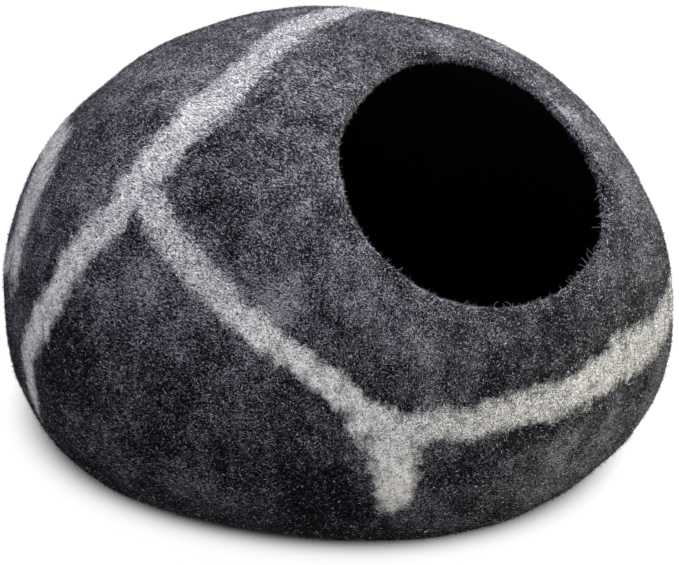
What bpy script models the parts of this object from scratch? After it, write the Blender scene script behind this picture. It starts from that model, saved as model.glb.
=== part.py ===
# Felt cat cave: one seamless shell of wet-felted wool, with one round mouth.
# Metres, +Z up. It rests on z = 0, and its mouth looks towards -Y and up.
import math
from collections import namedtuple

import bmesh
import bpy
from mathutils import Vector

# The body, measured over the outside of the felt
BODY_RADIUS = 0.24          # in plan, at its widest
BODY_HEIGHT = 0.311
BELLY_HEIGHT = 0.1126       # of the widest level, and of the heart that the shape is drawn from
FLOOR_PRESS = 0.0108        # how far the underside would hang below the floor if it weren't flattened
FOOT_ROUNDING = 0.006       # half the height over which the underside turns into the flat base
CROWN_POWER = 2.17          # squareness of the upper half: 2 is an ellipse
UNDERSIDE_POWER = 2.62

# Unevenness of the whole body
OVAL_SHARE = 0.012          # of the radius
OVAL_AZIMUTH = 8            # degrees, counter-clockwise from +X
LOBE_SHARE = 0.013
LOBE_AZIMUTH = 32
CROWN_LEAN = Vector((-0.011, 0.010, 0))     # how far the top has slumped sideways
PLAN_CENTRING = Vector((0.0018, 0.0004, 0))  # brings the middle of the plan over the origin

# Soft bumps and dents: where they lie as seen from the heart, in degrees, how wide they are
# as a share of the distance from the heart, and how far they push the wall out
Bump = namedtuple("Bump", "azimuth rise spread push")
BUMPS = (
    Bump(azimuth=-78, rise=-14, spread=0.30, push=-0.0025),
    Bump(azimuth=-104, rise=-23, spread=0.32, push=0.0015),
    Bump(azimuth=-151, rise=-25, spread=0.32, push=-0.0049),
    Bump(azimuth=174, rise=-20, spread=0.24, push=0.0014),
    Bump(azimuth=155, rise=-9, spread=0.22, push=-0.0010),
    Bump(azimuth=122, rise=37, spread=0.20, push=-0.0015),
    Bump(azimuth=18, rise=53, spread=0.22, push=-0.0030),
    Bump(azimuth=-35, rise=24, spread=0.22, push=-0.0035),
    Bump(azimuth=88, rise=8, spread=0.32, push=0.0020),
    Bump(azimuth=38, rise=-8, spread=0.30, push=-0.0025),
    Bump(azimuth=60, rise=40, spread=0.26, push=0.0015),
)

# The mouth, as seen from the heart: an oval round an axis that looks nearly towards -Y
MOUTH_AZIMUTH = math.radians(-89.3)     # of its axis
MOUTH_RISE = math.radians(47.5)         # and above level
MOUTH_LONG = math.radians(30.1)         # half angles of the oval
MOUTH_SHORT = math.radians(24.1)
MOUTH_TURN = math.radians(31)           # of the long way, from level towards the top
RIM_LOBE_SHARE = 0.026                  # the cut edge is uneven
RIM_LOBE_TURN = math.radians(15)
RIM_WAVE_SHARE = 0.009
RIM_WAVE_TURN = math.radians(12)

# The felt
WALL = 0.008
LIP_ROUND = 0.0037          # on each edge of the lip
LIP_STEPS = 3
LIP_EDGE_ANGLE = math.radians(60)

# The mesh runs in rings from the lip to the far end of the mouth's axis
MERIDIANS = 56
RINGS = 34                  # of a whole sphere, some of which the mouth takes away

FELT_COLOUR = (0.115, 0.118, 0.130, 1.0)
FELT_ROUGHNESS = 0.95


def clear_scene():
    for thing in list(bpy.data.objects):
        bpy.data.objects.remove(thing, do_unlink=True)


def felt_material():
    felt = bpy.data.materials.new("charcoal_felt")
    felt.use_nodes = True
    finish = felt.node_tree.nodes["Principled BSDF"]
    finish.inputs["Base Color"].default_value = FELT_COLOUR
    finish.inputs["Roughness"].default_value = FELT_ROUGHNESS
    finish.inputs["Metallic"].default_value = 0.0
    return felt


def direction_to(azimuth, rise):
    level = math.cos(rise)
    return Vector((level * math.cos(azimuth), level * math.sin(azimuth), math.sin(rise)))


def bump_at(direction):
    """How far the bumps and dents push the wall out in this direction."""
    push = 0.0
    for bump in BUMPS:
        middle = direction_to(math.radians(bump.azimuth), math.radians(bump.rise))
        reach = (direction - middle).length / bump.spread
        push += bump.push * math.exp(-reach * reach)
    return push


def plan_radius(azimuth):
    oval = OVAL_SHARE * math.cos(2 * (azimuth - math.radians(OVAL_AZIMUTH)))
    lobes = LOBE_SHARE * math.cos(3 * (azimuth - math.radians(LOBE_AZIMUTH)))
    return BODY_RADIUS * (1 + oval + lobes)


def flattened(height):
    """The underside is pressed flat on the floor, and turns up from it in a soft curve."""
    if height <= -FOOT_ROUNDING:
        return 0.0
    if height < FOOT_ROUNDING:
        return (height + FOOT_ROUNDING) ** 2 / (4 * FOOT_ROUNDING)
    return height


def outer_face(direction):
    """The point of the outer face that lies in a unit direction from the heart."""
    azimuth = math.atan2(direction.y, direction.x)
    level = math.hypot(direction.x, direction.y)
    if direction.z >= 0:
        power, depth = CROWN_POWER, BODY_HEIGHT - BELLY_HEIGHT
    else:
        power, depth = UNDERSIDE_POWER, BELLY_HEIGHT + FLOOR_PRESS
    across = (level / plan_radius(azimuth)) ** power
    upright = (abs(direction.z) / depth) ** power
    distance = (across + upright) ** (-1 / power) + bump_at(direction)
    point = direction * distance
    point.z += BELLY_HEIGHT
    slump = (max(point.z, 0.0) / BODY_HEIGHT) ** 2
    point += CROWN_LEAN * slump + PLAN_CENTRING
    point.z = flattened(point.z)
    return point


def mouth_axes():
    """The mouth's axis, and the long and the short way across it."""
    axis = direction_to(MOUTH_AZIMUTH, MOUTH_RISE)
    side = direction_to(MOUTH_AZIMUTH + math.pi / 2, 0)
    upward = side.cross(axis) * -1
    long_way = side * math.cos(MOUTH_TURN) + upward * math.sin(MOUTH_TURN)
    short_way = upward * math.cos(MOUTH_TURN) - side * math.sin(MOUTH_TURN)
    return axis, long_way, short_way


def lip_direction(turn):
    """Where the cut edge lies, as a direction from the heart, at an angle round the mouth."""
    axis, long_way, short_way = mouth_axes()
    unevenness = 1 + RIM_LOBE_SHARE * math.cos(3 * (turn - RIM_LOBE_TURN))
    unevenness += RIM_WAVE_SHARE * math.cos(4 * (turn - RIM_WAVE_TURN))
    offset = long_way * (MOUTH_LONG * math.cos(turn)) + short_way * (MOUTH_SHORT * math.sin(turn))
    offset *= unevenness
    return axis * math.cos(offset.length) + offset.normalized() * math.sin(offset.length)


def felt_shell(felt):
    """The outer face, from the lip round to the back, then given the felt's thickness inwards."""
    bm = bmesh.new()
    bmesh.ops.create_uvsphere(bm, u_segments=MERIDIANS, v_segments=RINGS, radius=1)
    lip_angle = math.pi * math.ceil(RINGS * MOUTH_LONG / math.pi) / RINGS
    cap = [vert for vert in bm.verts if vert.co.z > math.cos(lip_angle - 0.5 * math.pi / RINGS)]
    bmesh.ops.delete(bm, geom=cap, context="VERTS")
    back = -mouth_axes()[0]
    for vert in bm.verts:
        from_pole = math.acos(max(-1.0, min(1.0, vert.co.z)))
        share = (from_pole - lip_angle) / (math.pi - lip_angle)
        lip = lip_direction(math.atan2(vert.co.y, vert.co.x))
        vert.co = outer_face(lip.slerp(back, max(0.0, share)))
    bmesh.ops.recalc_face_normals(bm, faces=bm.faces)
    mesh = bpy.data.meshes.new("felt_shell")
    bm.to_mesh(mesh)
    bm.free()
    mesh.materials.append(felt)
    mesh.shade_smooth()
    shell = bpy.data.objects.new("felt_shell", mesh)
    bpy.context.collection.objects.link(shell)

    wall = shell.modifiers.new("wall", "SOLIDIFY")
    wall.thickness = WALL
    wall.offset = -1
    wall.use_even_offset = True
    lip = shell.modifiers.new("lip", "BEVEL")
    lip.limit_method = "ANGLE"
    lip.angle_limit = LIP_EDGE_ANGLE
    lip.width = LIP_ROUND
    lip.segments = LIP_STEPS
    return shell


clear_scene()
felt_shell(felt_material())
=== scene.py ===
# Felt cat cave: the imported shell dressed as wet-felted wool, with real fibres on it
import math

import bmesh
import bpy
import numpy as np
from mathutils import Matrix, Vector, bvhtree, kdtree, noise


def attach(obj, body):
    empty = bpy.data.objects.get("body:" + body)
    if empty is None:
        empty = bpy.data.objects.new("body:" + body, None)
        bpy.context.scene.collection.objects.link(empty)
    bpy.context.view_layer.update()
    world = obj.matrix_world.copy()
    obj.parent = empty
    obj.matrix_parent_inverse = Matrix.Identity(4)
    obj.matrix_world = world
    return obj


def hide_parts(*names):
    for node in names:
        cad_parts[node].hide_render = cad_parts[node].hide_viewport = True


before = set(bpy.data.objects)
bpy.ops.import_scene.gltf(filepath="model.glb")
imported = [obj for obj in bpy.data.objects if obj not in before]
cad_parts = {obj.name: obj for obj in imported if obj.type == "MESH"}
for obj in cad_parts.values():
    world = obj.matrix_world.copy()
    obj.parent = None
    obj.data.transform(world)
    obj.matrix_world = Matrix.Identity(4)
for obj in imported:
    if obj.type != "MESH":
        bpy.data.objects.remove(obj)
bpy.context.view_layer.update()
print("frame loaded")

mm = 0.001
up = np.array([0.0, 0.0, 1.0])
rng = np.random.default_rng(11)     # seeded, so that each run draws the same wool


def turnTo(azimuth, rise):
    # unit direction, degrees, counter-clockwise from +X and up from level
    a = math.radians(azimuth)
    r = math.radians(rise)
    return np.array([math.cos(r) * math.cos(a), math.cos(r) * math.sin(a), math.sin(r)])


def unit(vectors):
    lengths = np.linalg.norm(vectors, axis=-1, keepdims=True)
    return vectors / np.maximum(lengths, 1e-12)


def smooth(start, full, value):
    # 0 at start, 1 at full and eased between them, whichever of the two is greater
    share = np.clip((value - start) / (full - start), 0, 1)
    return share * share * (3 - 2 * share)


def lumpsAt(points, size, shift):
    # soft noise from about -1 to 1, one value a row, with lumps of this many millimetres
    return np.array([noise.noise(Vector(p)) for p in points * (1000 / size) + shift])


def addObject(name, data):
    thing = bpy.data.objects.new(name, data)
    bpy.context.collection.objects.link(thing)
    return thing


def vertexVectors(mesh, field):
    flat = np.empty(len(mesh.vertices) * 3)
    mesh.vertices.foreach_get(field, flat)
    return flat.reshape(-1, 3)


# the body's form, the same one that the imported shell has
body = {
    "radius": 0.24,
    "height": 0.311,
    "belly": 0.1126,        # level of the widest ring, and of the heart
    "floorPress": 0.0108,
    "footRounding": 0.006,
    "crownPower": 2.17,
    "undersidePower": 2.62,
    "oval": (0.012, 8),     # share of the radius, degrees
    "lobes": (0.013, 32),
    "slump": (-0.011, 0.010, 0),
    "centring": (0.0018, 0.0004, 0),
    # azimuth, rise, spread, push
    "bumps": (
        (-78, -14, 0.30, -0.0025),
        (-104, -23, 0.32, 0.0015),
        (-151, -25, 0.32, -0.0049),
        (174, -20, 0.24, 0.0014),
        (155, -9, 0.22, -0.0010),
        (122, 37, 0.20, -0.0015),
        (18, 53, 0.22, -0.0030),
        (-35, 24, 0.22, -0.0035),
        (88, 8, 0.32, 0.0020),
        (38, -8, 0.30, -0.0025),
        (60, 40, 0.26, 0.0015),
    ),
}
heart = np.array([0, 0, body["belly"]])


def outerFace(direction):
    # points of the outer face in unit directions from the heart, one row each
    azimuth = np.arctan2(direction[:, 1], direction[:, 0])
    plan = 1 + sum(
        share * np.cos(fold * (azimuth - math.radians(at)))
        for fold, (share, at) in ((2, body["oval"]), (3, body["lobes"]))
    )
    above = direction[:, 2] >= 0
    power = np.where(above, body["crownPower"], body["undersidePower"])
    depth = np.where(above, body["height"] - body["belly"], body["belly"] + body["floorPress"])
    across = (np.hypot(direction[:, 0], direction[:, 1]) / (body["radius"] * plan)) ** power
    upright = (np.abs(direction[:, 2]) / depth) ** power
    distance = (across + upright) ** (-1 / power)
    for at, rise, spread, push in body["bumps"]:
        reach = np.linalg.norm(direction - turnTo(at, rise), axis=1) / spread
        distance += push * np.exp(-reach * reach)
    point = direction * distance[:, None] + heart
    lean = (np.maximum(point[:, 2], 0) / body["height"]) ** 2
    point += lean[:, None] * np.array(body["slump"]) + np.array(body["centring"])
    # pressed flat on the floor, with a soft turn up from it
    z = point[:, 2]
    soft = body["footRounding"]
    point[:, 2] = np.where(z < -soft, 0, np.where(z < soft, (z + soft) ** 2 / (4 * soft), z))
    return point


mouth = {
    "azimuth": -89.3,       # of its axis
    "rise": 47.5,
    "long": 30.1,           # half angles of the oval
    "short": 24.1,
    "turn": 31,             # of the long way, from level
    "lobes": (0.026, 15),   # the cut edge is uneven: share of the oval, degrees
    "waves": (0.009, 12),
}


def lipDirection(turn):
    # where the cut edge lies at these angles round the mouth, as seen from the heart, and the axis
    axis = turnTo(mouth["azimuth"], mouth["rise"])
    side = turnTo(mouth["azimuth"] + 90, 0)
    upward = -np.cross(side, axis)
    tilt = math.radians(mouth["turn"])
    longWay = side * math.cos(tilt) + upward * math.sin(tilt)
    shortWay = upward * math.cos(tilt) - side * math.sin(tilt)
    uneven = 1 + sum(
        share * np.cos(fold * (turn - math.radians(at)))
        for fold, (share, at) in ((3, mouth["lobes"]), (4, mouth["waves"]))
    )
    offset = math.radians(mouth["long"]) * np.outer(np.cos(turn) * uneven, longWay)
    offset += math.radians(mouth["short"]) * np.outer(np.sin(turn) * uneven, shortWay)
    angle = np.linalg.norm(offset, axis=1, keepdims=True)
    return axis * np.cos(angle) + offset / angle * np.sin(angle), axis


wall = {
    "thickness": 0.008,
    "lipRound": 0.0039,
    "lipSteps": 6,
    "lipEdgeAngle": 60,     # degrees
    "meridians": 280,
    "rings": 186,           # of a whole sphere, before the mouth is taken out
    "edgeSamples": 360,     # round the cut edge, to measure distances from it
    "lumps": ((1.1, 34), (0.55, 14), (0.25, 7)),    # height and size in mm
    "lumpShift": 3.1,       # between one noise and the next
    "creases": (0.8, 26, 2.6, 91),  # level creases: height, size, squashing and shift
    "creasesBelow": (0.12, 0.06),   # levels between which they set in
    "calmBelow": (0.002, 0.016),    # levels between which it all fades to the flat base
    "roll": (0.0018, 0.010),        # of the lip: how deep, and how far from the edge
    "rollDepths": (0.0075, 0.004),  # depths in the wall between which it sets in
}


def putInOrder(mesh):
    # sphere and bevel number their vertices and faces differently from run to run, and the
    # fibres are drawn by number, so vertices are sorted by place and faces by their vertices
    points = vertexVectors(mesh, "co")
    order = np.lexsort(points.T)
    rank = np.argsort(order)
    faces = []
    for face in mesh.polygons:
        corners = [int(rank[k]) for k in face.vertices]
        first = corners.index(min(corners))
        faces.append(corners[first:] + corners[:first])
    mesh.clear_geometry()
    mesh.from_pydata(points[order], [], sorted(faces))


def feltWall():
    # the outer face runs in rings from the lip to the far end of the mouth's axis
    bm = bmesh.new()
    bmesh.ops.create_uvsphere(bm, u_segments=wall["meridians"], v_segments=wall["rings"], radius=1)
    ring = math.pi / wall["rings"]
    lipAngle = ring * math.ceil(math.radians(mouth["long"]) / ring)
    cap = [v for v in bm.verts if v.co.z > math.cos(lipAngle - ring / 2)]
    bmesh.ops.delete(bm, geom=cap, context="VERTS")
    at = np.array([v.co for v in bm.verts])
    fromPole = np.arccos(np.clip(at[:, 2], -1, 1))
    share = np.clip((fromPole - lipAngle) / (math.pi - lipAngle), 0, 1)
    lip, axis = lipDirection(np.arctan2(at[:, 1], at[:, 0]))
    span = np.arccos(np.clip(lip @ -axis, -1, 1))
    way = lip * np.sin((1 - share) * span)[:, None] - axis * np.sin(share * span)[:, None]
    for v, place in zip(bm.verts, outerFace(unit(way))):
        v.co = place
    bmesh.ops.recalc_face_normals(bm, faces=bm.faces)
    mesh = bpy.data.meshes.new("feltBody")
    bm.to_mesh(mesh)
    putInOrder(mesh)
    bm.clear()
    bm.from_mesh(mesh)
    outside = bvhtree.BVHTree.FromBMesh(bm)
    bm.free()
    piece = addObject("feltBody", mesh)

    thick = piece.modifiers.new("thickness", "SOLIDIFY")
    thick.thickness = wall["thickness"]
    thick.offset = -1
    thick.use_even_offset = True
    rounded = piece.modifiers.new("lip", "BEVEL")
    rounded.limit_method = "ANGLE"
    rounded.angle_limit = math.radians(wall["lipEdgeAngle"])
    rounded.width = wall["lipRound"]
    rounded.segments = wall["lipSteps"]
    ready = piece.evaluated_get(bpy.context.evaluated_depsgraph_get())
    finished = bpy.data.meshes.new_from_object(ready)
    putInOrder(finished)
    piece.modifiers.clear()
    piece.data = finished
    piece.data.name = "feltBody"
    return piece, outside


feltBody, outside = feltWall()
places = vertexVectors(feltBody.data, "co")
# how deep each vertex lies under the outer face, and how far it is from the cut edge
below = np.array([outside.find_nearest(Vector(p))[3] for p in places])
turns = np.linspace(0, 2 * math.pi, wall["edgeSamples"], endpoint=False)
cutEdge = outerFace(lipDirection(turns)[0])
edgeTree = kdtree.KDTree(len(cutEdge))
for k, point in enumerate(cutEdge):
    edgeTree.insert(Vector(point), k)
edgeTree.balance()
fromEdge = np.array([edgeTree.find(Vector(p))[2] for p in places])
print("felt wall", len(places), "vertices")

# the felt's own unevenness, which leaves the flat base alone
calm = smooth(*wall["calmBelow"], places[:, 2])
raised = sum(
    height * mm * lumpsAt(places, size, wall["lumpShift"] * step)
    for step, (height, size) in enumerate(wall["lumps"])
)
height, size, squash, shift = wall["creases"]
low = smooth(*wall["creasesBelow"], places[:, 2])
raised += height * mm * low * lumpsAt(places * (1, 1, squash), size, shift)
# the lip is rolled a little, inwards and back
depth, reach = wall["roll"]
raised -= depth * np.exp(-(fromEdge / reach) ** 2) * smooth(*wall["rollDepths"], below)
places += vertexVectors(feltBody.data, "normal") * (raised * calm)[:, None]
places[:, 2] = np.maximum(places[:, 2], 0)
feltBody.data.vertices.foreach_set("co", places.ravel())
feltBody.data.update()
feltBody.data.shade_smooth()


# pale veins felted into the dark wool: azimuth and rise from the heart, width in mm, strength
veins = {
    "crown": (
        (40, 8, 26, 0.9), (40, 20, 26, 1), (38, 32, 26, 1), (36, 45, 27, 1), (41, 60, 27, 1),
        (54, 71, 28, 1), (90, 77.5, 28, 1), (159.5, 72.7, 29, 1), (175, 62.2, 33, 1),
        (178, 52.4, 37, 1), (178.4, 45, 33, 1), (178.3, 38.4, 30.5, 1), (177.6, 31.5, 26, 1),
        (174.7, 25.4, 26, 1), (172.6, 19.7, 25, 1), (172, 16.8, 23, 1), (169, 11, 25, 1),
        (165.6, 5, 23, 1), (164.6, 0.5, 20, 1), (165.3, -3, 18, 1), (165.5, -9, 16, 0.4),
    ),
    "slope": (
        (-177.4, 36.9, 21, 1), (-170, 32.9, 24, 1), (-163.9, 30.2, 24, 1),
        (-157.3, 26.2, 21.5, 1), (-152.4, 23.4, 21, 1), (-147.4, 20.6, 19, 1),
        (-142.9, 17.8, 20, 1), (-137.7, 14.5, 18, 1), (-132.7, 10.4, 20, 1),
        (-129.2, 6.9, 25, 1), (-125.9, 5.2, 25, 1),
    ),
    "girdle": (
        (-125.9, 5.1, 25, 1), (-121, 5.5, 22, 1), (-113.9, 4.9, 22.5, 1), (-106.4, 5.3, 23.5, 1),
        (-98.2, 5.2, 26, 1), (-90.8, 5.6, 30, 1), (-81.9, 6.2, 33, 1), (-72.6, 5.4, 32, 1),
        (-63, 4.9, 31, 1), (-48, 5.1, 31, 1), (-30, 7, 33, 1), (-10, 8.5, 30, 1), (10, 7, 27, 1),
        (28, 7, 27, 1), (40, 8, 28, 1), (62, 6, 26, 1), (85, 8, 26, 1), (108, 5, 26, 1),
        (128, 8, 26, 1), (141, 9, 25, 1), (148, 12, 24, 0.9), (151.5, 17, 24, 0.8),
    ),
    "frontStub": (
        (-126.9, 5.3, 35, 1), (-126.5, 2.4, 33, 1), (-125.7, -0.8, 29, 1),
        (-125.7, -4.2, 26, 1), (-126, -8, 19, 0.95), (-126.2, -10, 13, 0.4),
    ),
    "backStub": ((40, 8, 32, 1), (41, 1, 32, 1), (42, -5, 28, 1), (42, -9, 18, 0.3)),
    "farSide": (
        (38, 40, 26, 1), (58, 39.5, 26, 1), (80, 36, 27, 1), (103, 31.5, 30, 1),
        (120, 29, 33, 1), (131, 29, 35, 1), (138.5, 30.5, 38, 1), (143.5, 30.5, 42, 1),
        (147.5, 27, 42, 1), (152, 20, 36, 1), (154.5, 14, 28, 0.8), (155.5, 9, 20, 0.3),
    ),
}

# how the wools are laid over the body
laying = {
    "veinStep": 0.02,       # radians between two samples of a vein
    "veinFade": 1.5,        # half widths from a vein's middle line to where it has faded out
    # strength, size and shift of the noises that fray the veins, wear them and cloud the dark wool
    "fray": ((0.24, 18, 41), (0.34, 8, 57), (0.24, 4.5, 83)),
    "wear": ((0.30, 11, 73), (0.16, 5, 67)),
    "clouds": ((0.28, 60, 17), (0.26, 22, 29), (0.24, 9, 5), (0.12, 4.5, 13)),
    "frayFrom": 0.02,       # share of a vein past which it is frayed
    "wornFrom": (0.1, 0.6),
    "paleFrom": (0.0, 1.2),
    "cloudMiddle": 0.5,
    # axis, where each zone sets in and where it is full
    "zones": {
        "crown": ("z", 0.14, 0.245),
        "top": ("z", 0.285, 0.312),
        "shoulder": ("z", 0.19, 0.25),
        "belly": ("z", 0.22, 0.13),
        "aboveFoot": ("z", 0.105, 0.13),
        "belowCrown": ("z", 0.22, 0.17),
        "aboveBelly": ("z", 0.12, 0.15),
        "belowMouth": ("z", 0.25, 0.19),
        "nearFloor": ("z", 0.13, 0.09),
        "behind": ("y", -0.03, 0.03),
        "leftEnd": ("x", -0.08, -0.15),
        "pastLeftEnd": ("x", -0.19, -0.12),
        "front": ("x", -0.12, -0.05),
        "face": ("x", -0.13, -0.06),
        "rightHalf": ("x", -0.12, -0.01),
        "rightEnd": ("x", 0, 0.1),
    },
    # painted shade: where the pale veins are greyed, most on the brightly lit crown and right end;
    # share taken off, and the zones
    "crownVeinShade": 0.68,
    "crownSpared": 0.20,    # share of it that is given back behind the left end
    "veinShade": (
        (0.6, "top"),
        (0.45, "pastLeftEnd", "aboveFoot", "belowCrown"),
        (0.32, "front"),
        (0.5, "rightEnd"),
    ),
    # painted shade: where the dark blend is made richer in black; where the share is below 0,
    # painted light makes it richer in grey
    "paintedShadeAndLight": (
        (0.37, "belly"),
        (0.14, "shoulder"),
        (0.12, "face", "belowMouth", "aboveBelly"),
        (-0.26, "rightHalf", "nearFloor"),
    ),
    "insideBelow": (0.0025, 0.0070),    # depths at which the inner face's painted shade takes over
    "insidePastLip": (0.004, 0.014),    # and how far from the cut edge
    "combing": (26, (111, 131, 151)),   # size and shifts of the noises that turn the wool
}


def veinShare(points):
    # 1 along a vein's middle, 0.5 at its edge and 0 where it has faded out
    seen = points - heart - np.array(body["centring"])
    far = np.linalg.norm(seen, axis=1)
    seen = seen / far[:, None]
    share = np.zeros(len(points))
    for route in veins.values():
        knots = np.array([[*turnTo(a, r), width, strength] for a, r, width, strength in route])
        knots = np.vstack([2 * knots[0] - knots[1], knots, 2 * knots[-1] - knots[-2]])
        for k in range(1, len(knots) - 2):
            before, start, end, after = knots[k - 1 : k + 3]
            steps = max(2, int(np.linalg.norm(end[:3] - start[:3]) / laying["veinStep"]))
            for t in np.linspace(0, 1, steps, endpoint=False):
                # a smooth curve through the knots
                spot = 0.5 * (
                    2 * start + (end - before) * t
                    + (2 * before - 5 * start + 4 * end - after) * t ** 2
                    + (3 * start - before - 3 * end + after) * t ** 3
                )
                away = np.linalg.norm(seen - unit(spot[:3]), axis=1) * far
                reach = away / (0.5 * mm * spot[3])
                share = np.maximum(share, np.clip(laying["veinFade"] - reach, 0, 1) * spot[4])
    return share


def layeredLumps(layers):
    return sum(strength * lumpsAt(places, size, shift) for strength, size, shift in layers)


def inZones(share, *names):
    # this share where all the named zones are full, and less of it towards their edges
    for name in names:
        axis, start, full = laying["zones"][name]
        share = share * smooth(start, full, places[:, "xyz".index(axis)])
    return share


veinAt = veinShare(places)
frayed = veinAt + layeredLumps(laying["fray"]) * (veinAt > laying["frayFrom"])
worn = sum(
    strength * smooth(*laying["wornFrom"], lumpsAt(places, size, shift))
    for strength, size, shift in laying["wear"]
)
paleAt = smooth(*laying["paleFrom"], frayed) * (1 - worn)
# painted shade on the pale veins: thickness here is the share of their pale left after it
crownVeinShade = laying["crownVeinShade"] - inZones(laying["crownSpared"], "behind", "leftEnd")
thickness = 1 - inZones(crownVeinShade, "crown")
for share, *names in laying["veinShade"]:
    thickness *= 1 - inZones(share, *names)
cloudAndShadeAt = laying["cloudMiddle"] + layeredLumps(laying["clouds"])
# painted shade darkens the dark wool's clouds, and painted light lifts them where the share is
# below 0
for share, *names in laying["paintedShadeAndLight"]:
    cloudAndShadeAt -= inZones(share, *names)
# the inner face's painted shade, past the lip
insideShadeAt = smooth(*laying["insideBelow"], below) * smooth(*laying["insidePastLip"], fromEdge)
# the way the wool was combed before it was felted
size, shifts = laying["combing"]
combedAt = unit(np.stack([lumpsAt(places, size, shift) for shift in shifts], axis=1))
# what the fields carry to the material: the veins, how far painted shade greys them, the dark
# wool's clouds with painted shade and light in them, and the inner face that painted shade turns
# near black
fields = {"pale": paleAt, "laid": thickness, "cloud": cloudAndShadeAt, "inside": insideShadeAt}
for name, values in fields.items():
    layer = feltBody.data.attributes.new(name, "FLOAT", "POINT")
    layer.data.foreach_set("value", values.astype(np.float32))
print("veins and clouds laid")


def newMaterial(name):
    mat = bpy.data.materials.new(name)
    mat.use_nodes = True
    return mat, mat.node_tree, mat.node_tree.nodes["Principled BSDF"]


def addNode(tree, kind, **values):
    node = tree.nodes.new("ShaderNode" + kind)
    for key, value in values.items():
        setattr(node, key, value)
    return node


def setInputs(node, values):
    for name, value in values.items():
        node.inputs[name].default_value = value


def feed(tree, node, values):
    # into a node's inputs in turn: a link from another node's socket, or a plain value
    for socket, value in zip(node.inputs, values):
        if isinstance(value, bpy.types.NodeSocket):
            tree.links.new(value, socket)
        else:
            socket.default_value = value


def mathNode(tree, operation, *values, clamp=False):
    node = addNode(tree, "Math", operation=operation, use_clamp=clamp)
    feed(tree, node, values)
    return node.outputs[0]


def vectorNode(tree, operation, *values):
    node = addNode(tree, "VectorMath", operation=operation)
    feed(tree, node, values)
    return node.outputs["Value" if operation in ("LENGTH", "DOT_PRODUCT") else "Vector"]


def chain(tree, operation, values):
    # one operation over all the values, a node for each after the first
    result = values[0]
    for value in values[1:]:
        result = mathNode(tree, operation, result, value)
    return result


def fromMiddle(tree, value, middle, strength):
    return mathNode(tree, "MULTIPLY", mathNode(tree, "SUBTRACT", value, middle), strength)


def noiseNode(tree, vector, scale, detail, roughness=0.5, output="Fac"):
    node = addNode(tree, "TexNoise")
    setInputs(node, {"Scale": scale, "Detail": detail, "Roughness": roughness})
    tree.links.new(vector, node.inputs["Vector"])
    return node.outputs[output]


def mixNode(tree, factor, first, second):
    node = addNode(tree, "Mix", data_type="RGBA")
    tree.links.new(factor, node.inputs["Factor"])
    for name, colour in (("A", first), ("B", second)):
        if isinstance(colour, bpy.types.NodeSocket):
            tree.links.new(colour, node.inputs[name])
        else:
            node.inputs[name].default_value = (*colour, 1)
    return node.outputs["Result"]


# the blend's dyed wools, from darkest to palest
wools = {
    "woolInk": (0.0012, 0.0012, 0.0018),
    "woolCharcoal": (0.0070, 0.0070, 0.0105),
    "woolIron": (0.0340, 0.0340, 0.0460),
    "woolSlate": (0.1000, 0.0990, 0.1220),
    "woolSilver": (0.340, 0.333, 0.372),
    "woolPale": (0.790, 0.782, 0.748),
}

felt = {
    "strandScale": 1380,        # per metre
    "strandStretch": 0.18,
    "strandTurns": ((0, 0, 20), (65, 25, 0), (20, 75, 50)),
    "bend": 0.0014,             # how far the strands are pulled about, in metres
    "bendScale": 340,
    # where in the strands' noise each wool shows
    "darkStops": (
        (0.505, "woolInk"),
        (0.535, "woolCharcoal"),
        (0.56, "woolIron"),
        (0.60, "woolSlate"),
        (0.65, "woolSilver"),
    ),
    "paleStops": (
        (0.36, "woolCharcoal"),
        (0.44, "woolSlate"),
        (0.49, "woolSilver"),
        (0.55, "woolPale"),
    ),
    "clouding": 0.20,           # how far the clouds and their painted shade and light shift the dark stops
    "veinShadeShift": 0.12,           # and how far the veins' painted shade shifts the pale ones
    "ragScale": 330,
    "rag": 0.9,                 # how far a vein's edge is pulled about
    "veinSharpness": 1.5,
    "hollowShade": (0.0015, 0.0015, 0.0018),     # painted shade: the near-black colour of the inner face
    "gloss": 0.25,              # how much smoother a strand is than the gaps
    "specular": 0.04,
    "sheen": 0.02,
    "sheenRoughness": 0.5,
    "bump": 0.6,
    "bumpHeight": 0.0009,
    "coarseScale": 190,
    "coarseShare": 1.6,         # of the coarse lumps in the bump, against 1 for the strands
}


def woolRamp(tree, factor, stops):
    node = addNode(tree, "ValToRGB")
    ramp = node.color_ramp
    while len(ramp.elements) < len(stops):
        ramp.elements.new(0.5)
    for element, (position, wool) in zip(ramp.elements, stops):
        element.position = position
        element.color = (*wools[wool], 1)
    tree.links.new(factor, node.inputs["Fac"])
    return node.outputs["Color"]


def strandNoise(tree, bent):
    # matted strands: noise stretched three ways
    strands = []
    for turn in felt["strandTurns"]:
        laid = addNode(tree, "Mapping")
        setInputs(laid, {
            "Rotation": [math.radians(angle) for angle in turn],
            "Scale": (1, felt["strandStretch"], 1),
        })
        tree.links.new(bent, laid.inputs["Vector"])
        strands.append(noiseNode(tree, laid.outputs[0], felt["strandScale"], 2, 0.6))
    return chain(tree, "MAXIMUM", strands)


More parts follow.
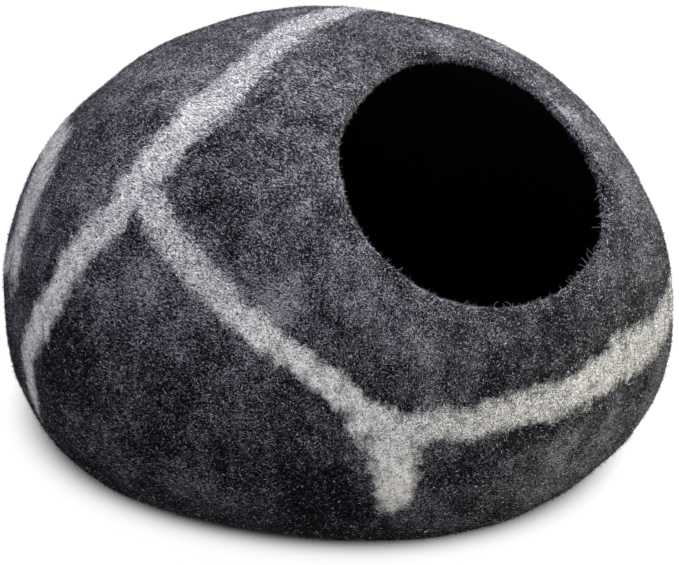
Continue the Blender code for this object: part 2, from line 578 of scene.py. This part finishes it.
def feltMaterial():
    mat, tree, shader = newMaterial("meltonFelt")
    at = addNode(tree, "TexCoord").outputs["Object"]
    pale, unshadedVein, cloud, inside = (
        addNode(tree, "Attribute", attribute_name=name).outputs["Fac"] for name in fields
    )

    # the strands are read through another noise, which bends them
    pull = noiseNode(tree, at, felt["bendScale"], 3, output="Color")
    centred = vectorNode(tree, "SUBTRACT", pull, (0.5, 0.5, 0.5))
    bent = vectorNode(tree, "ADD", at, vectorNode(tree, "MULTIPLY", centred, [felt["bend"]] * 3))
    fleck = strandNoise(tree, bent)

    # cloudy dark wool with painted shade and light in it, and pale wool greyed by painted shade
    cloudyAndShaded = fromMiddle(tree, cloud, 0.5, felt["clouding"])
    dark = woolRamp(tree, mathNode(tree, "ADD", fleck, cloudyAndShaded), felt["darkStops"])
    veinShade = fromMiddle(tree, unshadedVein, 1.0, felt["veinShadeShift"])
    light = woolRamp(tree, mathNode(tree, "ADD", fleck, veinShade), felt["paleStops"])
    rag = noiseNode(tree, bent, felt["ragScale"], 3, 0.6)
    edge = fromMiddle(tree, rag, 0.5, felt["rag"])
    vein = mathNode(tree, "ADD", mathNode(tree, "SUBTRACT", pale, 0.5), edge)
    sharper = mathNode(tree, "MULTIPLY", vein, felt["veinSharpness"])
    coat = mixNode(tree, mathNode(tree, "ADD", sharper, 0.5, clamp=True), dark, light)
    # painted shade: the inner face is made near black
    coat = mixNode(tree, inside, coat, felt["hollowShade"])
    tree.links.new(coat, shader.inputs["Base Color"])

    smoother = mathNode(tree, "MULTIPLY", fleck, -felt["gloss"])
    rough = mathNode(tree, "ADD", smoother, 1.0, clamp=True)
    tree.links.new(rough, shader.inputs["Roughness"])
    setInputs(shader, {
        "Specular IOR Level": felt["specular"],
        "Sheen Weight": felt["sheen"],
        "Sheen Roughness": felt["sheenRoughness"],
    })

    coarse = noiseNode(tree, at, felt["coarseScale"], 3, 0.6)
    lumpy = mathNode(tree, "MULTIPLY", coarse, felt["coarseShare"])
    bump = addNode(tree, "Bump")
    setInputs(bump, {"Strength": felt["bump"], "Distance": felt["bumpHeight"]})
    tree.links.new(mathNode(tree, "ADD", lumpy, fleck), bump.inputs["Height"])
    tree.links.new(bump.outputs["Normal"], shader.inputs["Normal"])
    return mat


feltBody.data.materials.clear()
feltBody.data.materials.append(feltMaterial())
print("felt material made")


def spotsOn(piece, count, density):
    # points spread over the faces by area times density, the normals there, and a function that
    # carries values from the vertices to them
    mesh = piece.data
    mesh.calc_loop_triangles()
    corners = np.empty(len(mesh.loop_triangles) * 3, dtype=np.int64)
    mesh.loop_triangles.foreach_get("vertices", corners)
    corners = corners.reshape(-1, 3)
    a, b, c = (places[corners[:, k]] for k in range(3))
    area = np.linalg.norm(np.cross(b - a, c - a), axis=1) / 2
    weight = area * density[corners].mean(axis=1)
    chosen = rng.choice(len(corners), count, p=weight / weight.sum())
    u = rng.random(count)
    v = rng.random(count)
    over = u + v > 1
    u[over] = 1 - u[over]
    v[over] = 1 - v[over]
    shares = np.stack([1 - u - v, u, v], axis=1)

    def carried(values):
        parts = shares.reshape(count, 3, *[1] * (values.ndim - 1))
        return (values[corners[chosen]] * parts).sum(axis=1)

    return carried(places), unit(carried(vertexVectors(mesh, "normal"))), carried


nap = {
    # lengths, widths and lifts in mm, tilts in degrees, sway as a share of the length
    "lying": {
        "count": 284000,
        "length": (1.25, 3.2),
        "width": (0.31, 0.53),
        "tilt": (-5, 8),
        "lift": (0.08, 0.42),
        "arch": (0.02, 0.16),
        "sway": 0.05,
        "lipExtra": 1.2,        # density added on the lip, against 1 on the body
    },
    "standing": {
        "count": 180000,
        "length": (1.1, 3.3),
        "width": (0.17, 0.29),
        "tilt": (18, 75),
        "lift": (-0.10, 0.0),
        "sway": 0.20,
        "lipExtra": 1.2,
    },
    "fuzz": {
        "count": 36000,
        "length": (2.4, 5.4),
        "width": (0.12, 0.20),
        "tilt": (35, 82),
        "lift": (-0.10, 0.0),
        "sway": 0.30,
        "lipExtra": 2.5,
    },
    "combed": 0.75,         # against the looseness of 1
    "grain": 1.1,           # how much the fibres near the floor run level round the body
    "grainLevels": (0.13, 0.04),
    "roll": 0.35,           # how far a fibre's flat side may turn, as a share of its width
    "crowding": (0.7, 0.5, 0.3),    # density of the plain blend, and what the clouds with their painted shade and light and the veins add
    "inside": 0.08,         # density on the inner face
    "insideFrom": 0.9,
    "baseLevels": (0.0004, 0.004),  # the flat base has none
    "lipStarts": (0.0005, 0.0025),  # depths in the wall between which the lip's extra sets in
    "lipEnds": (0.0079, 0.0065),
    "floorGap": 0.0003,
    "split": 0.14,          # level above which a wool's fibres are a piece of their own
    "roughness": 0.75,
    "specular": 0.04,
    # shares of the wools in the order above, first where the dark body's clouds and painted shade
    # are darkest; each mix takes over where its field rises between two values
    "darkestMix": (0.62, 0.08, 0.09, 0.155, 0.0545, 0.0005),
    "mixes": (
        ("cloud", (-0.25, 0.35), (0.46, 0.06, 0.10, 0.247, 0.132, 0.001)),
        ("cloud", (0.35, 0.95), (0.32, 0.05, 0.11, 0.313, 0.205, 0.002)),
        ("pale", (0, 0.5), (0.19, 0.08, 0.12, 0.24, 0.25, 0.12)),
        ("pale", (0.35, 0.95), (0.11, 0.04, 0.08, 0.17, 0.46, 0.14)),
    ),
    # and the core of a vein, less of it where painted shade greys the vein
    "coreFrom": (0.35, 0.95),
    "coreMix": (0.08, 0.02, 0.05, 0.06, 0.18, 0.61),
}


def between(limits, count):
    return rng.uniform(limits[0], limits[1], count)


def alongFace(way, normal):
    return unit(way - normal * (way * normal).sum(axis=1)[:, None])


def napDensity(lipExtra):
    plain, byCloudAndShade, byVein = nap["crowding"]
    onLip = smooth(*nap["lipStarts"], below) * smooth(*nap["lipEnds"], below)
    density = np.where(insideShadeAt > nap["insideFrom"], nap["inside"], 1.0)
    density *= smooth(*nap["baseLevels"], places[:, 2]) * (
        plain + byCloudAndShade * cloudAndShadeAt + byVein * paleAt
    )
    return density * (1 + lipExtra * onLip)


def woolShares(here):
    # brighter in the clouds and under painted light, darker under painted shade, pale in the veins
    # but greyer under their painted shade, and all ink on the inner face as painted shade
    shares = np.tile(nap["darkestMix"], (len(here["pale"]), 1))
    for field, limits, mix in nap["mixes"]:
        shares += (np.array(mix) - shares) * smooth(*limits, here[field])[:, None]
    core = smooth(*nap["coreFrom"], here["pale"]) * here["laid"]
    shares += (np.array(nap["coreMix"]) - shares) * core[:, None]
    shares += (np.eye(len(wools))[0] - shares) * here["inside"][:, None]
    return shares


def napFibres(kind):
    # each fibre's corners, the number of its wool, and whether it is above the split
    fibre = nap[kind]
    count = fibre["count"]
    spot, normal, carried = spotsOn(feltBody, count, napDensity(fibre["lipExtra"]))
    here = {name: carried(values) for name, values in fields.items()}

    # it follows the combing loosely, and near the floor it runs level round the body
    way = carried(combedAt) * nap["combed"] + unit(rng.normal(size=(count, 3)))
    around = unit(np.cross(normal, up))
    around *= np.sign((way * around).sum(axis=1))[:, None]
    grain = nap["grain"] * smooth(*nap["grainLevels"], spot[:, 2])
    level = alongFace(way + around * grain[:, None], normal)
    side = np.cross(normal, level)
    length = between(fibre["length"], count) * mm
    width = between(fibre["width"], count) * mm
    tilt = np.radians(between(fibre["tilt"], count))
    along = level * np.cos(tilt)[:, None] + normal * np.sin(tilt)[:, None]
    lift = between(fibre["lift"], count) * mm
    back = 0.5 if kind == "lying" else 0.0      # share of it that lies behind its spot
    start = spot + normal * lift[:, None] - along * (length * back)[:, None]
    end = start + along * length[:, None]
    sway = rng.normal(size=count) * fibre["sway"] * length
    roll = rng.uniform(-nap["roll"], nap["roll"], count) * width
    half = side * (width / 2)[:, None] + normal * roll[:, None]
    if kind == "lying":
        arch = between(fibre["arch"], count) * mm
        middle = (start + end) / 2 + side * sway[:, None]
        middle += normal * arch[:, None]
        corners = np.stack([start, middle - half, middle + half, end], axis=1)
    else:
        corners = np.stack([start - half, start + half, end + side * sway[:, None]], axis=1)
    corners[:, :, 2] = np.maximum(corners[:, :, 2], nap["floorGap"])

    draw = rng.random(count)[:, None]
    wool = (draw > np.cumsum(woolShares(here), axis=1)[:, :-1]).sum(axis=1)
    return corners, wool, spot[:, 2] > nap["split"]


def woolMaterial(name, colour):
    # one dye a wool: what varies over the felt is which wool lies where
    mat, _, shader = newMaterial(name)
    setInputs(shader, {
        "Base Color": (*colour, 1),
        "Roughness": nap["roughness"],
        "Specular IOR Level": nap["specular"],
    })
    return mat


def fibrePiece(name, lying, standing, colour):
    # a lying fibre is two triangles with a bend between them, a standing one a single triangle
    first = np.arange(len(lying))[:, None] * 4
    faces = np.concatenate([first + [0, 1, 2], first + [1, 3, 2]], axis=1).reshape(-1, 3)
    upright = len(lying) * 4 + np.arange(len(standing) * 3).reshape(-1, 3)
    mesh = bpy.data.meshes.new(name)
    points = np.concatenate([lying.reshape(-1, 3), standing.reshape(-1, 3)])
    mesh.from_pydata(points, [], np.concatenate([faces, upright]))
    mesh.materials.append(woolMaterial(name, colour))
    print(name, len(lying), "lying fibres and", len(standing), "standing")
    return addObject(name, mesh)


lyingFibres = napFibres("lying")
looseFibres = [np.concatenate(pair) for pair in zip(napFibres("standing"), napFibres("fuzz"))]
woolPieces = []
for k, (name, colour) in enumerate(wools.items()):
    for part, isHigh in (("Crown", True), ("Belly", False)):
        lying, standing = (
            corners[(wool == k) & (high == isHigh)]
            for corners, wool, high in (lyingFibres, looseFibres)
        )
        woolPieces.append(fibrePiece(name + part, lying, standing, colour))


hairs = {
    "onLip": 80,
    "onBody": 120,
    "colour": (0.26, 0.26, 0.27),
    "thickness": 0.00016,
    "rootDepth": 0.0002,
    "step": 0.0008,
    "steps": (6, 14),           # and two thirds of them on the body
    "lipStands": 0.35,          # how far a hair stands off at first
    "bodyStands": 0.10,
    "standsMore": 0.4,          # at random
    "twist": 0.45,              # how far its curl leaves the felt's normal
    "curl": 0.45,               # radians a step at the most
    "curlShare": (0.15, 1),
    "tighten": 1.03,            # its curl from one step to the next
    "wander": 0.08,
    "hug": 0.35,                # how much a hair on the body is turned back to it at each step
    "lipStarts": (0.0008, 0.002),   # depths in the wall
    "lipEnds": (0.005, 0.007),
    "bodyLevels": (0.02, 0.05),
    "outerDepth": 0.0005,
    # the mouth's lowest corner, towards +X, is the shaggiest
    "shaggyWay": (0.72, -0.69, -0.8),
    "shaggyFrom": (0.65, 1),
    "restOfLip": 0.06,
}


def hairSpots():
    edge = smooth(*hairs["lipStarts"], below) * (1 - smooth(*hairs["lipEnds"], below))
    reach = places @ np.array(hairs["shaggyWay"])
    onEdge = reach[edge > 0]
    corner = smooth(*hairs["shaggyFrom"], (reach - onEdge.min()) / np.ptp(onEdge))
    onLip = spotsOn(feltBody, hairs["onLip"], edge * (hairs["restOfLip"] + corner))
    outer = smooth(*hairs["bodyLevels"], places[:, 2]) * (below < hairs["outerDepth"])
    onBody = spotsOn(feltBody, hairs["onBody"], outer)
    return np.concatenate([onLip[0], onBody[0]]), np.concatenate([onLip[1], onBody[1]])


def hairLine(spot, normal, onBody):
    # a hair's points from its root, each a short step on from the last and a little turned
    stands = hairs["bodyStands"] if onBody else hairs["lipStands"]
    along = unit(np.cross(normal, rng.normal(size=3)))
    way = unit(along + normal * (stands + hairs["standsMore"] * rng.random()))
    spin = unit(normal * rng.normal() + rng.normal(size=3) * hairs["twist"])
    turn = hairs["curl"] * rng.uniform(*hairs["curlShare"]) * rng.choice((-1, 1))
    point = spot - normal * hairs["rootDepth"]
    steps = int(rng.integers(*hairs["steps"]))
    if onBody:
        steps = steps * 2 // 3
    line = [point]
    for _ in range(steps):
        point = point + way * hairs["step"]
        line.append(point)
        way = unit(way + np.cross(spin, way) * turn + rng.normal(size=3) * hairs["wander"])
        if onBody:
            way = unit(way - normal * max(0, way @ normal) * hairs["hug"])
        turn *= hairs["tighten"]
    return line


def hairPiece():
    curve = bpy.data.curves.new("strayHairs", "CURVE")
    curve.dimensions = "3D"
    curve.bevel_depth = hairs["thickness"] / 2
    curve.bevel_resolution = 0
    curve.use_fill_caps = True
    curve.resolution_u = 2
    for k, (spot, normal) in enumerate(zip(*hairSpots())):
        line = hairLine(spot, normal, k >= hairs["onLip"])
        spline = curve.splines.new("NURBS")
        spline.points.add(len(line) - 1)
        for knot, place in zip(spline.points, line):
            knot.co = (*place, 1)
        spline.order_u = 4
        spline.use_endpoint_u = True
    shape = addObject("strayHairs", curve)
    ready = shape.evaluated_get(bpy.context.evaluated_depsgraph_get())
    mesh = bpy.data.meshes.new_from_object(ready)
    bpy.data.objects.remove(shape)
    mesh.name = "strayHairs"
    mesh.materials.clear()
    mesh.materials.append(woolMaterial("hairSilver", hairs["colour"]))
    return addObject("strayHairs", mesh)


strayHairs = hairPiece()
print("stray hairs", len(strayHairs.data.polygons), "faces")


studio = {
    "floorSize": 12,
    "floorGrey": 0.10,
    "floorGlow": 0.97,      # but for the painted shadow close round the body's foot
    "shadeFrom": 0.1981,    # mean distance from the middle at which that shade starts to lift
    # and how that goes round the foot: size, fold and azimuth of each wave
    "shadeWaves": ((0.0472, 1, 65.6), (0.0113, 2, -83)),
    "shadeSoft": 0.0143,    # how softly it lifts where it starts closest to the middle
    "shadeSofter": 0.08,    # and how much more softly for each metre further out
    "shadeEase": 1.8,
    "tent": 0.85,           # light from above the floor
    "tentCool": (0.98, 0.98, 1.14),     # from this side
    "tentWarm": (0.990, 0.995, 0.985),  # and from the other
    "coolSide": 136.5,
    "under": 0.02,          # and what little comes back from below
    "aim": (0, 0, 0.1),
    # place, size, watts and colour
    "softboxes": {
        "overhead": ((0.0, 0.0, 2.2), 1.5, 20, (0.95, 0.985, 1.10)),
        "highRight": ((1.5, 0.3, 1.8), 1.5, 97, (1.01, 1.0, 0.98)),
        "lowRight": ((1.6, -1.5, 0.42), 1.2, 59, (1.06, 1.055, 0.83)),
        "frontFill": ((-1.2, -1.5, 0.4), 1.0, 11, (1.04, 1.0, 0.93)),
    },
}


def aimAt(thing, target):
    way = Vector(target) - thing.location
    thing.rotation_euler = way.to_track_quat("-Z", "Y").to_euler()


def floorMaterial():
    mat, tree, shader = newMaterial("paleFloor")
    grey = studio["floorGrey"]
    setInputs(shader, {
        "Base Color": (grey, grey, grey, 1),
        "Roughness": 1,
        "Specular IOR Level": 0,
        "Emission Color": (1, 1, 1, 1),
    })

    # the glow lifts with the distance from the body's foot: a painted shadow round it
    place = addNode(tree, "TexCoord").outputs["Object"]
    centring = [-value for value in body["centring"]]
    flatPlace = vectorNode(tree, "MULTIPLY_ADD", place, (1, 1, 0), centring)
    apart = addNode(tree, "SeparateXYZ")
    tree.links.new(flatPlace, apart.inputs[0])
    azimuth = mathNode(tree, "ARCTAN2", apart.outputs["Y"], apart.outputs["X"])
    waves = []
    for size, fold, peak in studio["shadeWaves"]:
        turned = fromMiddle(tree, azimuth, math.radians(peak), fold)
        waves.append(mathNode(tree, "MULTIPLY", mathNode(tree, "COSINE", turned), size))
    further = chain(tree, "ADD", waves)
    past = mathNode(tree, "SUBTRACT", vectorNode(tree, "LENGTH", flatPlace), studio["shadeFrom"])
    past = mathNode(tree, "MAXIMUM", mathNode(tree, "SUBTRACT", past, further), 0)
    mostNearer = sum(wave[0] for wave in studio["shadeWaves"])
    least = studio["shadeSoft"] + studio["shadeSofter"] * mostNearer
    softer = mathNode(tree, "MULTIPLY", further, studio["shadeSofter"])
    share = mathNode(tree, "DIVIDE", past, mathNode(tree, "ADD", softer, least))
    ease = mathNode(tree, "POWER", share, studio["shadeEase"])
    dimmed = mathNode(tree, "EXPONENT", mathNode(tree, "MULTIPLY", ease, -1))
    lifted = mathNode(tree, "SUBTRACT", 1.0, dimmed)
    lit = mathNode(tree, "MULTIPLY", lifted, studio["floorGlow"])
    tree.links.new(lit, shader.inputs["Emission Strength"])
    return mat


def makeFloor():
    bm = bmesh.new()
    bmesh.ops.create_grid(bm, x_segments=8, y_segments=8, size=studio["floorSize"])
    mesh = bpy.data.meshes.new("studioFloor")
    bm.to_mesh(mesh)
    bm.free()
    mesh.materials.append(floorMaterial())
    piece = addObject("studioFloor", mesh)
    # the floor throws no light back under the body
    piece.visible_diffuse = False
    piece.visible_glossy = False
    piece.visible_shadow = False
    return piece


def makeTent():
    # white above the floor, cooler on one side, and nearly dark below it
    world = bpy.data.worlds.new("softTent")
    world.use_nodes = True
    tree = world.node_tree
    background = tree.nodes["Background"]
    toward = addNode(tree, "TexCoord").outputs["Generated"]
    split = addNode(tree, "SeparateXYZ")
    tree.links.new(toward, split.inputs[0])
    above = mathNode(tree, "GREATER_THAN", split.outputs["Z"], 0.0)
    strength = mathNode(tree, "MULTIPLY", above, studio["tent"] - studio["under"])
    strength = mathNode(tree, "ADD", strength, studio["under"])
    tree.links.new(strength, background.inputs["Strength"])
    cool = vectorNode(tree, "DOT_PRODUCT", toward, turnTo(studio["coolSide"], 0))
    coolness = mathNode(tree, "ADD", mathNode(tree, "MULTIPLY", cool, 0.5), 0.5)
    tint = mixNode(tree, coolness, studio["tentWarm"], studio["tentCool"])
    tree.links.new(tint, background.inputs["Color"])
    return world


def makeSoftboxes():
    for name, (place, size, watts, colour) in studio["softboxes"].items():
        lamp = bpy.data.lights.new(name, "AREA")
        lamp.size = size
        lamp.energy = watts
        lamp.color = colour
        softbox = addObject(name, lamp)
        softbox.location = place
        aimAt(softbox, studio["aim"])


floor = makeFloor()
bpy.context.scene.world = makeTent()
makeSoftboxes()

shot = {
    "azimuth": -43.5,       # from the front, counter-clockwise
    "elevation": 26,
    "distance": 1.8,        # from the middle of the body
    "middle": (0.0018, 0.0004, 0.15),
    "lookAt": (-0.0014, 0.0034, 0.1224),
    "lens": 132.6,
    "sensor": 36,
    "clipEnd": 60,
}


def makeCamera():
    a = math.radians(shot["azimuth"])
    e = math.radians(shot["elevation"])
    back = Vector((math.sin(a) * math.cos(e), -math.cos(a) * math.cos(e), math.sin(e)))
    lens = bpy.data.cameras.new("shot")
    lens.lens = shot["lens"]
    lens.sensor_width = shot["sensor"]
    lens.clip_end = shot["clipEnd"]
    camera = addObject("shot", lens)
    camera.location = Vector(shot["middle"]) + back * shot["distance"]
    aimAt(camera, shot["lookAt"])
    return camera


bpy.context.scene.camera = makeCamera()
bpy.context.scene.view_settings.view_transform = "Standard"
print("studio and camera ready")

finished = [feltBody, *woolPieces, strayHairs]
for piece in finished:
    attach(piece, "root")
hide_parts("felt_shell")

triangles = [sum(len(face.vertices) - 2 for face in piece.data.polygons) for piece in finished]
print("triangles", dict(zip((piece.name for piece in finished), triangles)), sum(triangles))
